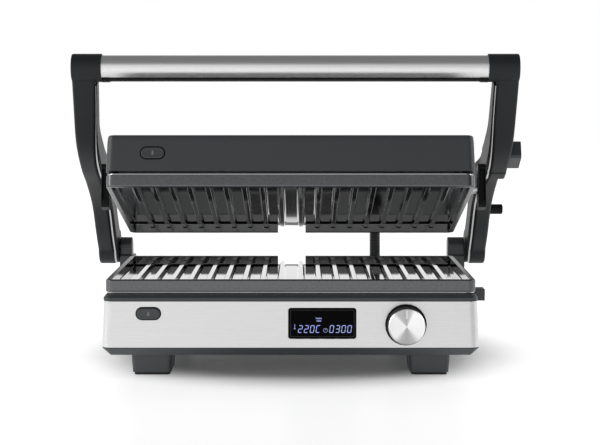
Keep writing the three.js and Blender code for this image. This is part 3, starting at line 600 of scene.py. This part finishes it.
def signs():
    shapes = []
    for z, half_x in ((4.4, 2.5), (2.2, 2.1)):  # two plates, one over the other
        shapes.append(prism(rounded(half_x, 0.6, 0.4, -3.0, z, 3), -0.2, MARK))
    shapes.append(prism(segment(-6.2, 5.2, -4.6, 4.6), -0.2, MARK))
    shapes.append(prism(rounded(0.3, 1.7, 0.28, -24.4, -2.3, 3), -0.2, MARK))  # a thermometer
    shapes.append(moved(turned([(0.75, -0.2), (0.75, MARK)], 16), at(-24.4, -4.6, 0)))
    ring = turned([(2.0, -0.2), (2.0, MARK), (1.6, MARK), (1.6, -0.2)], 32, closed=True)
    shapes.append(moved(ring, at(2.8, -6.2, 0)))  # a clock face
    shapes.append(prism(segment(2.8, -6.3, 2.8, -4.9), -0.2, MARK))
    return merged(*shapes)


piece("display_figures", digits(), PANE_SPACE, "root", "display_black").data.materials[0] = DIGITS
piece("display_signs", signs(), PANE_SPACE, "root", "display_black").data.materials[0] = SIGNS


def down_arrow(size):
    """A small arrow pointing down: press to release."""
    head = [(0, -size), (size * 0.75, -size * 0.15), (size * 0.28, -size * 0.15), (size * 0.28, size * 0.8),
            (-size * 0.28, size * 0.8), (-size * 0.28, -size * 0.15), (-size * 0.75, -size * 0.15)]
    return prism(head, -0.3, 0.05)


def release_button(name, node, space, body, reach, back):
    """A pill-shaped button with a collar behind the wall; space has its face at z 0, looking out."""
    profile = [(0, -reach - 1.5), (0, -0.1, 0.9), (1.4, -0.1, 0.5), (2.0, -0.35)]
    pad = stack(BUTTON_X, BUTTON_Z, BUTTON_Z - 0.05, profile)
    piece(name, pad, space, body, "dark_plastic", [node])
    # The stem is a real part, but it shows as a near-black ring in the gap round the pad: its colour is
    # painted shade.
    stem = prism(rounded(BUTTON_X + 0.6, BUTTON_Z + 0.6, BUTTON_Z + 0.5), -back, -reach - 0.8)
    collar = prism(rounded(BUTTON_X + 2.6, BUTTON_Z + 2.6, BUTTON_Z + 2.5), -back, -back + 2)
    behind = piece(name + "_stem", stem, space, body, "black_plastic", joins=[collar],
                   cuts=[prism(rounded(BUTTON_X - 0.3, BUTTON_Z - 0.3, BUTTON_Z - 0.4), -reach - 1.6, 0)])
    behind.data.materials[0] = BUTTON_SHADE
    mark = piece(name + "_mark", down_arrow(2.3), space @ at(0, 0, -0.36), body, "dark_plastic")
    mark.data.materials[0] = FAINT_MARK


release_button("lower_release_pad", "lower_release_button",
               BASE_SPACE @ at(LOWER_BUTTON.x, button_lo.y, LOWER_BUTTON.z, TO_FRONT), "lower_release", 1.8,
               button_hi.y - button_lo.y)

# ------------------------------------------------------------------ head
HEAD_X, HEAD_FRONT, HEAD_BACK, HEAD_CORNER, HEAD_BOTTOM, HEAD_TOP = 165.5, -115.5, 118, 6.5, 15, 48.2
HEAD_MIDDLE, HEAD_HALF_Y = (HEAD_FRONT + HEAD_BACK) / 2, (HEAD_BACK - HEAD_FRONT) / 2
PIVOT_Y, PIVOT_Z, PIN_BORE = 20, 26.3, 4.3
UPPER_BUTTON_X, UPPER_BUTTON_Z, UPPER_FACE = -123.5, 31.5, -116.9


def head_cover():
    profile = [(0, HEAD_BOTTOM), (0, HEAD_TOP - 6), (0.5, HEAD_TOP, 1.6), (14, HEAD_TOP)]
    outer = stack(HEAD_X, HEAD_HALF_Y, HEAD_CORNER, profile, y=HEAD_MIDDLE)
    for v in outer.verts:
        v.co.x *= 1 - 0.9 / HEAD_X * (v.co.z - HEAD_BOTTOM) / (HEAD_TOP - HEAD_BOTTOM)
    hollow = [(0, HEAD_BOTTOM - 1), (0.6, HEAD_TOP - 2.5)]
    inner = stack(HEAD_X - 3.4, HEAD_HALF_Y - 2.5, 4, hollow, y=HEAD_MIDDLE)
    recess = stack(150, 101, 12, [(0, HEAD_TOP - 1.1), (0, HEAD_TOP + 5)], y=HEAD_MIDDLE)
    bosses = [moved(turned([(10, 162.4), (10, 172, 0.8), (1, 172)], 64), at(0, PIVOT_Y, PIVOT_Z, turn))
              for turn in (TO_SIDE, Matrix.Rotation(-math.pi / 2, 4, "Y"))]
    hole = prism(rounded(BUTTON_X + 0.9, BUTTON_Z + 0.9, BUTTON_Z + 0.85), -12, 12)
    piece("head_cover_moulding", outer, HEAD_SPACE, "head", "dark_plastic", ["head_cover"], edge=0.35,
          sharp=30, cuts=[
                inner, recess, moved(hole, at(UPPER_BUTTON_X, HEAD_FRONT, UPPER_BUTTON_Z, TO_FRONT)),
                rod("y", 6.5, 110, 125, LEAD_X, PIVOT_Z - 1)])
    for side, boss in zip(("right", "left"), bosses):
        sign = 1 if side == "right" else -1
        piece(f"head_boss_{side}", boss, HEAD_SPACE, "head", "dark_plastic",
              cuts=[rod("x", PIN_BORE, *sorted((sign * 160, sign * 175)), PIVOT_Y, PIVOT_Z)])


head_cover()
piece("top_inlay_sheet", stack(149.6, 100.6, 11.6, [(0, HEAD_TOP - 0.8), (0, HEAD_TOP, 0.3), (2, HEAD_TOP)],
                               y=HEAD_MIDDLE), HEAD_SPACE, "head", "brushed_steel", ["top_inlay"])
release_button("upper_release_pad", "upper_release_button",
               HEAD_SPACE @ at(UPPER_BUTTON_X, UPPER_FACE, UPPER_BUTTON_Z, TO_FRONT), "upper_release",
               1.4, 6.6)


# ------------------------------------------------------------------ arms, in the lid's space
class Spine:
    """A centripetal Catmull-Rom line in a YZ plane, measured along its length."""

    def __init__(self, knots, divisions=240):
        self.knots = [Vector(k) for k in knots]
        self.points = [self.curve(i / divisions) for i in range(divisions + 1)]
        self.reach = [0.0]
        for a, b in zip(self.points, self.points[1:]):
            self.reach.append(self.reach[-1] + (b - a).length)
        self.length = self.reach[-1]

    def curve(self, t):
        knots, last = self.knots, len(self.knots) - 1
        i = min(int(t * last), last - 1)
        w = t * last - i
        p1, p2 = knots[i], knots[i + 1]
        p0 = knots[i - 1] if i else 2 * p1 - p2
        p3 = knots[i + 2] if i + 2 <= last else 2 * p2 - p1
        d0, d1, d2 = (math.sqrt((b - a).length) for a, b in ((p0, p1), (p1, p2), (p2, p3)))
        t1 = ((p1 - p0) / d0 - (p2 - p0) / (d0 + d1) + (p2 - p1) / d1) * d1
        t2 = ((p2 - p1) / d1 - (p3 - p1) / (d1 + d2) + (p3 - p2) / d2) * d1
        return (p1 + t1 * w + (3 * (p2 - p1) - 2 * t1 - t2) * w ** 2 + (2 * (p1 - p2) + t1 + t2) * w ** 3)

    def at(self, s):
        """The point s along it, and its rise: its angle above -y."""
        s = min(max(s, 0), self.length)
        i = next((k for k in range(1, len(self.reach)) if self.reach[k] >= s), len(self.reach) - 1)
        a, b = self.points[i - 1], self.points[i]
        p = a.lerp(b, (s - self.reach[i - 1]) / (self.reach[i] - self.reach[i - 1]))
        lo, hi = self.points[max(i - 2, 0)], self.points[min(i + 1, len(self.points) - 1)]
        d = hi - lo
        return p, math.atan2(d.y, -d.x)


ARM = Spine([(0, 0), (-29, 13.5), (-75, 39.5), (-130, 52.5), (-172, 58), (-214, 71), (-236, 93),
             (-262.7, 122.7)])
SLEEVE = 166  # mm along the right arm, where its upper part is wider
COVER_FROM, CORE, LINER = 4.8, (2.5, 4.5), (0, 2.2)
EYE = 18.5
GRIP = ARM.knots[-1]
TUBE_RADIUS, TUBE_WALL, SOCKET, SOCKET_BORE = 11.85, 1.2, 13.2, 12.2
TUBE_LEFT, TUBE_RIGHT = -190, 198
SOCKET_INNER = {"left": 176.5, "right": 184}
SIDES = {"left": -1, "right": 1}


def smooth(s, start, end):
    t = min(max((s - start) / (end - start), 0), 1)
    return t * t * (3 - 2 * t)


def faces(side, s):
    """How far out the arm's inner and outer faces stand, s along it."""
    if side == "left":
        return 184 - 3 * smooth(s, 215, 300), 205 - 0.5 * smooth(s, 215, 300)
    return (184.3 + 4.2 * smooth(s, 130, 150) + smooth(s, 200, 300),
            205 + 5 * smooth(s, SLEEVE, SLEEVE + 3) + 3 * smooth(s, SLEEVE, 300))


def half_depth(side, s):
    proud = 0
    if side == "right":
        cuff = 0.8 * (smooth(s, SLEEVE, SLEEVE + 3) - smooth(s, SLEEVE + 15, SLEEVE + 17))
        proud = 1.6 * smooth(s, SLEEVE, SLEEVE + 3) * (1 - smooth(s, 180, 290)) + cuff
    return 14.5 - 5 * smooth(s, 180, 300) + proud


THINNING = {"left": 0.7, "right": 0.5}  # of the core and the liner, towards the handle


def arm_bar(side, start, end, near, far, inset, radius):
    """A bar along the arm; near and far are measured out from its inner face, far None is its outer face."""
    highlight_greys = {start + (end - start) * i / 60 for i in range(61)} | {SLEEVE + 0.6 * i for i in range(32)}
    rings = []
    for s in sorted(highlight_greys):
        p, rise = ARM.at(s)
        inner, outer = faces(side, s)
        scale = 1 - THINNING[side] * smooth(s, 190, 250)
        x0, x1 = inner + near * scale, outer if far is None else inner + far * scale
        ring = []
        for u, v in rounded((x1 - x0) / 2, half_depth(side, s) - inset, radius, steps=4):
            ring.append((SIDES[side] * ((x0 + x1) / 2 + u), p.x + v * math.sin(rise),
                         p.y + v * math.cos(rise)))
        rings.append(ring)
    return loft(rings)


def collar(side, radius, x0, x1, y, z, fillet):
    """A short drum along x, its outer rim rounded."""
    bm = turned([(radius, x0), (radius, x1, fillet), (radius - 2.2 * fillet, x1)], 72)
    turn = TO_SIDE if SIDES[side] > 0 else Matrix.Rotation(-math.pi / 2, 4, "Y")
    return moved(bm, at(0, y, z, turn))


SLIDER_AT, SLIDER_TRAVEL, SLIDER_STEM = 189, 16, 3
LOCK_Y, LOCK_Z, LOCK_RADIUS = -56.4, 29, 5.2
for side, sign in SIDES.items():
    inner0, outer0 = faces(side, 0)
    outer1 = faces(side, ARM.length)[1]
    sink = sorted((sign * 170, sign * 198.5))
    tube_end = -TUBE_LEFT if side == "left" else TUBE_RIGHT
    socket = sorted((sign * (SOCKET_INNER[side] - 3), sign * (tube_end + 1)))
    cuts = [rod("x", SOCKET_BORE, *socket, GRIP.x, GRIP.y), rod("x", PIN_BORE, *sink, 0, 0)]
    if side == "right":
        p, rise = ARM.at(SLIDER_AT)
        way = block(203, 216, -7 - SLIDER_TRAVEL - 0.4, 7.4, -SLIDER_STEM - 0.4, SLIDER_STEM + 0.4)
        cuts += [moved(way, at(0, p.x, p.y, Matrix.Rotation(-rise, 4, "X"))),
                 rod("x", LOCK_RADIUS + GAP, 193, 210, LOCK_Y, LOCK_Z)]
    cover = arm_bar(side, 0, ARM.length, COVER_FROM, None, 0, 2.6)
    arm = piece(f"arm_{side}_moulding", cover, LID_SPACE, "arms",
          "dark_plastic", [f"arm_cover_{side}"], cuts=cuts, sharp=40, joins=[
              collar(side, EYE, inner0 + COVER_FROM, outer0, 0, 0, 2),
              collar(side, SOCKET, SOCKET_INNER[side], outer1, GRIP.x, GRIP.y, 1.3)])
    arm.data.materials[0] = ARM_PLASTIC
    for layer, (near, far), look, inset, radius in (("core", CORE, "inner_steel", 0.4, 0.4),
                                                    ("liner", LINER, "black_plastic", 1.2, 0.5)):
        strip = arm_bar(side, 0, ARM.length - 14, near, far, inset, radius)
        piece(f"arm_{side}_{layer}_strip", strip, LID_SPACE, "arms",
              look, [f"arm_{layer}_{side}"], cuts=[rod("x", PIN_BORE, *sink, 0, 0)],
              joins=[collar(side, EYE - inset, inner0 + near, inner0 + far, 0, 0, 0.3)])

tube = turned([(TUBE_RADIUS - TUBE_WALL, TUBE_LEFT), (TUBE_RADIUS, TUBE_LEFT), (TUBE_RADIUS, TUBE_RIGHT),
               (TUBE_RADIUS - TUBE_WALL, TUBE_RIGHT)], 96, closed=True)
piece("handle_tube_steel", moved(tube, at(0, GRIP.x, GRIP.y, TO_SIDE)), LID_SPACE, "arms", "handle_steel",
      ["handle_tube"])


def grip_strip():
    """A shallow strip hugging the underside of the tube, with a raised tab at each end."""
    x0, x1 = -SOCKET_INNER["left"] + GAP, SOCKET_INNER["right"] - GAP
    rings = []
    for x, proud in ((x0, 1.6), (x0 + 6.5, 1.6), (x0 + 8, 0.9), (x1 - 8, 0.9), (x1 - 6.5, 1.6), (x1, 1.6)):
        inner, outer = TUBE_RADIUS + 0.35, TUBE_RADIUS + proud
        angles = [math.radians(-112 + 60 * k / 12) for k in range(13)]
        ring = [(outer, a) for a in angles] + [(inner, a) for a in angles[::-1]]
        rings.append([(x, GRIP.x + r * math.cos(a), GRIP.y + r * math.sin(a)) for r, a in ring])
    return loft(rings)


piece("grip_strip_rubber", grip_strip(), LID_SPACE, "arms", "black_plastic", ["handle_grip_strip"])

p, rise = ARM.at(SLIDER_AT)
SLIDER_SPACE = LID_SPACE @ at(0, p.x, p.y, Matrix.Rotation(-rise, 4, "X"))
thumb = prism(rounded(14, 9, 3), 211.9, 222.6)
ribs = [block(-9 + 4 * i - 0.7, -9 + 4 * i + 0.7, -10, 10, 221.7, 224) for i in range(6)]
piece("height_slider_thumb", moved(thumb, TO_YZ),
      SLIDER_SPACE, "slider", "dark_plastic", ["height_slider"], edge=0.8,
      joins=[block(203.3, 212.9, -7, 7, -SLIDER_STEM, SLIDER_STEM)],
      cuts=[moved(r, TO_YZ) for r in ribs])
piece("arm_lock_knuckle",
      moved(turned([(0.01, 198.5), (LOCK_RADIUS, 198.5), (LOCK_RADIUS, 218.9, 1.3), (0.01, 218.9)], 48),
            at(0, LOCK_Y, LOCK_Z, TO_SIDE)), LID_SPACE, "arm_lock", "black_plastic", ["arm_lock_button"])

BRACKET_X = {"left": (175.5, 183.7), "right": (180.5, 188.1)}
BRACKET_Y, SLOT_Y, BRACKET_LOW, BRACKET_HIGH, FLOAT = 9.4, 4.8, 5, 48, 14
for side, sign in SIDES.items():
    y, z = HEAD_Y + PIVOT_Y, HEAD_Z + PIVOT_Z
    x0, x1 = sorted(sign * x for x in BRACKET_X[side])
    middle = (BRACKET_LOW + BRACKET_HIGH) / 2
    outer = prism(rounded(BRACKET_Y, (BRACKET_HIGH - BRACKET_LOW) / 2, 3, y, middle), x0, x1)
    slot = prism(rounded(SLOT_Y, SLOT_Y + FLOAT / 2, SLOT_Y - 0.05, y, z + FLOAT / 2, 12), x0 - 1, x1 + 1)
    window = block(x0 + 1.4, x1 - 1.4, y - BRACKET_Y - 1, y - SLOT_Y - 0.9, z - 12, z + 18)
    piece(f"float_bracket_{side}_moulding", moved(outer, TO_YZ), LID_SPACE, "arms", "black_plastic",
          [f"float_bracket_{side}"], cuts=[moved(slot, TO_YZ), window], edge=0.5)

# ------------------------------------------------------------------ hinge lugs, on the base
LUG_INNER, LUG_OUTER, LUG_BOTTOM = {"left": 170.5, "right": 165.8}, 183.3, 74.3
for side, sign in SIDES.items():
    inner_x = LUG_INNER[side]
    x0, x1 = sorted((sign * inner_x, sign * LUG_OUTER))
    crown, low = 9.5, LUG_BOTTOM - HINGE_Z
    foot_y, foot_top = 12, 80
    body = prism(path([(-crown, low), (crown, low), (crown, 0.0), (crown, crown, crown - 0.1),
                       (-crown, crown, crown - 0.1), (-crown, 0.0)], closed=True, steps=10), x0, x1)
    beside = sorted((sign * (BASE_X + GAP), sign * LUG_OUTER))
    leg = block(*beside, HINGE_Y - foot_y, HINGE_Y + foot_y, 34, foot_top)
    piece(f"hinge_lug_{side}_moulding", moved(body, at(0, HINGE_Y, HINGE_Z) @ TO_YZ), BASE_SPACE, "root",
          "dark_plastic", [f"hinge_lug_{side}"], joins=[leg], edge=3.4, segments=5,
          cuts=[rod("x", PIN_BORE, *sorted((sign * (inner_x + 2), sign * 190)), HINGE_Y, HINGE_Z)])

# ------------------------------------------------------------------ link cable, in two halves
LEAD = Spine([(113, 82.6), (113.4, 94), (114.2, 104), (113.6, 114), (110.5, 122), (104.8, 127.4),
              (96.1, 129.9)])
RIB_PITCH, RIB_DEPTH, LEAD_RADIUS = 3.0, 0.3, 5.5


def ribbed(start, end):
    count = int((end - start) / RIB_PITCH * 6)
    rings = []
    for k in range(count + 1):
        s = start + (end - start) * k / count
        p, rise = LEAD.at(s)
        r = LEAD_RADIUS - RIB_DEPTH * (0.5 + 0.5 * math.cos(2 * math.pi * s / RIB_PITCH))
        rings.append([(LEAD_X + r * math.cos(a), p.x + r * math.sin(a) * math.sin(rise),
                       p.y + r * math.sin(a) * math.cos(rise))
                      for a in (2 * math.pi * j / 28 for j in range(28))])
    return loft(rings)


half_way = LEAD.length / 2
for name, start, end, bodies in (("link_cable_lower", 0, half_way, ("root", "arms")),
                                 ("link_cable_upper", half_way, LEAD.length, ("arms", "head"))):
    cable = piece(name, ribbed(start, end), BASE_SPACE, None, "rubber")
    cable.data.materials[0] = CABLE_JACKET
    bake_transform(cable)
    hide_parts("link_cable")

# ------------------------------------------------------------------ CAD nodes shown as they are
CARRIED = {
    "dark_plastic": ["drip_tray", "storage_catch"],
    # head_frame is a real frame, and black so that the seam under the head cover reads dark: its colour
    # partly stands in for the shade in that gap.
    "black_plastic": ["drip_funnel", "mains_gland", "rotary_encoder", "knob_ring", "head_frame"],
    "inner_steel": ["lower_heat_pan", "upper_heat_pan", "hinge_pin_left", "hinge_pin_right", "pivot_pin_left",
                    "pivot_pin_right", "encoder_shaft", "lower_button_spring"],
    "element_steel": ["lower_heating_element", "upper_heating_element", "lower_temperature_probe",
                      "upper_temperature_probe"],
    "rubber": ["lower_boot", "upper_boot"] + [n for n in frame["nodes"] if n.startswith("foot_pad")],
    "circuit_board": ["display_module", "control_board"],
}
ROUND_WIRE = ("lower_heating_element", "upper_heating_element", "lower_button_spring")
for look, names in CARRIED.items():
    for name in names:
        obj = frame["nodes"][name]
        obj.modifiers.new("weld", "WELD").merge_threshold = 0.01 * MM
        soften(obj, 0 if name in ROUND_WIRE else 0.3 * MM)
        obj.modifiers.new("shading", "WEIGHTED_NORMAL").keep_sharp = False
        dress(obj, look)

# ------------------------------------------------------------------ stage
view = bpy.context.scene.view_settings
view.view_transform = "Standard"

world = bpy.data.worlds.new("studio")
bpy.context.scene.world = world
world.use_nodes = True
sky = world.node_tree
direction = sky.nodes.new("ShaderNodeTexCoord")
split = sky.nodes.new("ShaderNodeSeparateXYZ")
height = sky.nodes.new("ShaderNodeMapRange")
height.inputs["From Min"].default_value, height.inputs["From Max"].default_value = 0.0, 1.0
ramp = sky.nodes.new("ShaderNodeValToRGB")
ramp.color_ramp.interpolation = "EASE"
ramp.color_ramp.elements[0].position, ramp.color_ramp.elements[0].color = 0.26, (1, 1, 1, 1)
ramp.color_ramp.elements[1].position, ramp.color_ramp.elements[1].color = 0.72, (0.20, 0.20, 0.20, 1)
sky.links.new(direction.outputs["Generated"], split.inputs["Vector"])
sky.links.new(split.outputs["Z"], height.inputs["Value"])
sky.links.new(height.outputs["Result"], ramp.inputs["Fac"])
side = sky.nodes.new("ShaderNodeVectorMath")  # the studio is dimmer to the front right
side.operation = "DOT_PRODUCT"
side.inputs[1].default_value = (0.78, -0.62, 0.0)
shade = sky.nodes.new("ShaderNodeMapRange")
shade.interpolation_type = "SMOOTHSTEP"
for socket, value in (("From Min", 0.55), ("From Max", 0.95), ("To Min", 1.0), ("To Max", 0.12)):
    shade.inputs[socket].default_value = value
both = sky.nodes.new("ShaderNodeVectorMath")
both.operation = "SCALE"
sky.links.new(direction.outputs["Generated"], side.inputs[0])
sky.links.new(side.outputs["Value"], shade.inputs["Value"])
sky.links.new(ramp.outputs["Color"], both.inputs[0])
sky.links.new(shade.outputs["Result"], both.inputs["Scale"])
sky.links.new(both.outputs["Vector"], sky.nodes["Background"].inputs["Color"])
sky.nodes["Background"].inputs["Strength"].default_value = 1.0

floor_material = surface("floor", (0.92, 0.92, 0.92), 0.35, grain=60, relief=0.0, mottle=0.01, specular=0.3)
floor = as_object("floor", prism([(-6, -6), (6, -6), (6, 6), (-6, 6)], -0.02, 0))
floor.data.materials.append(floor_material)
floor_nodes, floor_links = floor_material.node_tree.nodes, floor_material.node_tree.links
floor_shader = floor_nodes["Principled BSDF"]
# The floor glows: painted light, faint inside an oval round the base and strong beyond it, so the floor reads
# white and its shadow stays only in that oval.
floor_shader.inputs["Emission Color"].default_value = (1, 1, 1, 1)
near = floor_nodes.new("ShaderNodeVectorMath")
near.operation = "LENGTH"
painted_glow = floor_nodes.new("ShaderNodeMapRange")
painted_glow.interpolation_type = "SMOOTHSTEP"
for socket, value in (("From Min", 0.72), ("From Max", 1.22), ("To Min", 0.04), ("To Max", 0.60)):
    painted_glow.inputs[socket].default_value = value
coordinates = next(n for n in floor_nodes if n.type == "TEX_COORD")
glow_oval = floor_nodes.new("ShaderNodeMapping")
glow_oval.inputs["Scale"].default_value = (1 / 0.19, 1 / 0.20, 1)
floor_links.new(coordinates.outputs["Object"], glow_oval.inputs["Vector"])
floor_links.new(glow_oval.outputs["Vector"], near.inputs[0])
floor_links.new(near.outputs["Value"], painted_glow.inputs["Value"])
floor_links.new(painted_glow.outputs["Result"], floor_shader.inputs["Emission Strength"])


def softbox(name, place, target, width, height, power):
    light = bpy.data.lights.new(name, "AREA")
    light.shape, light.size, light.size_y, light.energy = "RECTANGLE", width, height, power
    obj = bpy.data.objects.new(name, light)
    obj.location = place
    obj.rotation_euler = (Vector(target) - Vector(place)).to_track_quat("-Z", "Y").to_euler()
    bpy.context.scene.collection.objects.link(obj)


softbox("key", (-1.5, -0.5, 0.8), (0, 0, 0.1), 0.5, 0.9, 5)
softbox("fill", (1.5, -0.3, 0.8), (0, 0, 0.1), 0.4, 0.9, 3)

camera_data = bpy.data.cameras.new("camera")
camera_data.lens = 104.3
camera_data.sensor_width = 36
camera = bpy.data.objects.new("camera", camera_data)
camera.location = (-0.0004, -1.6904, 0.253)
camera.rotation_euler = (math.radians(90 - 4.29), 0, 0)
bpy.context.scene.collection.objects.link(camera)
bpy.context.scene.camera = camera
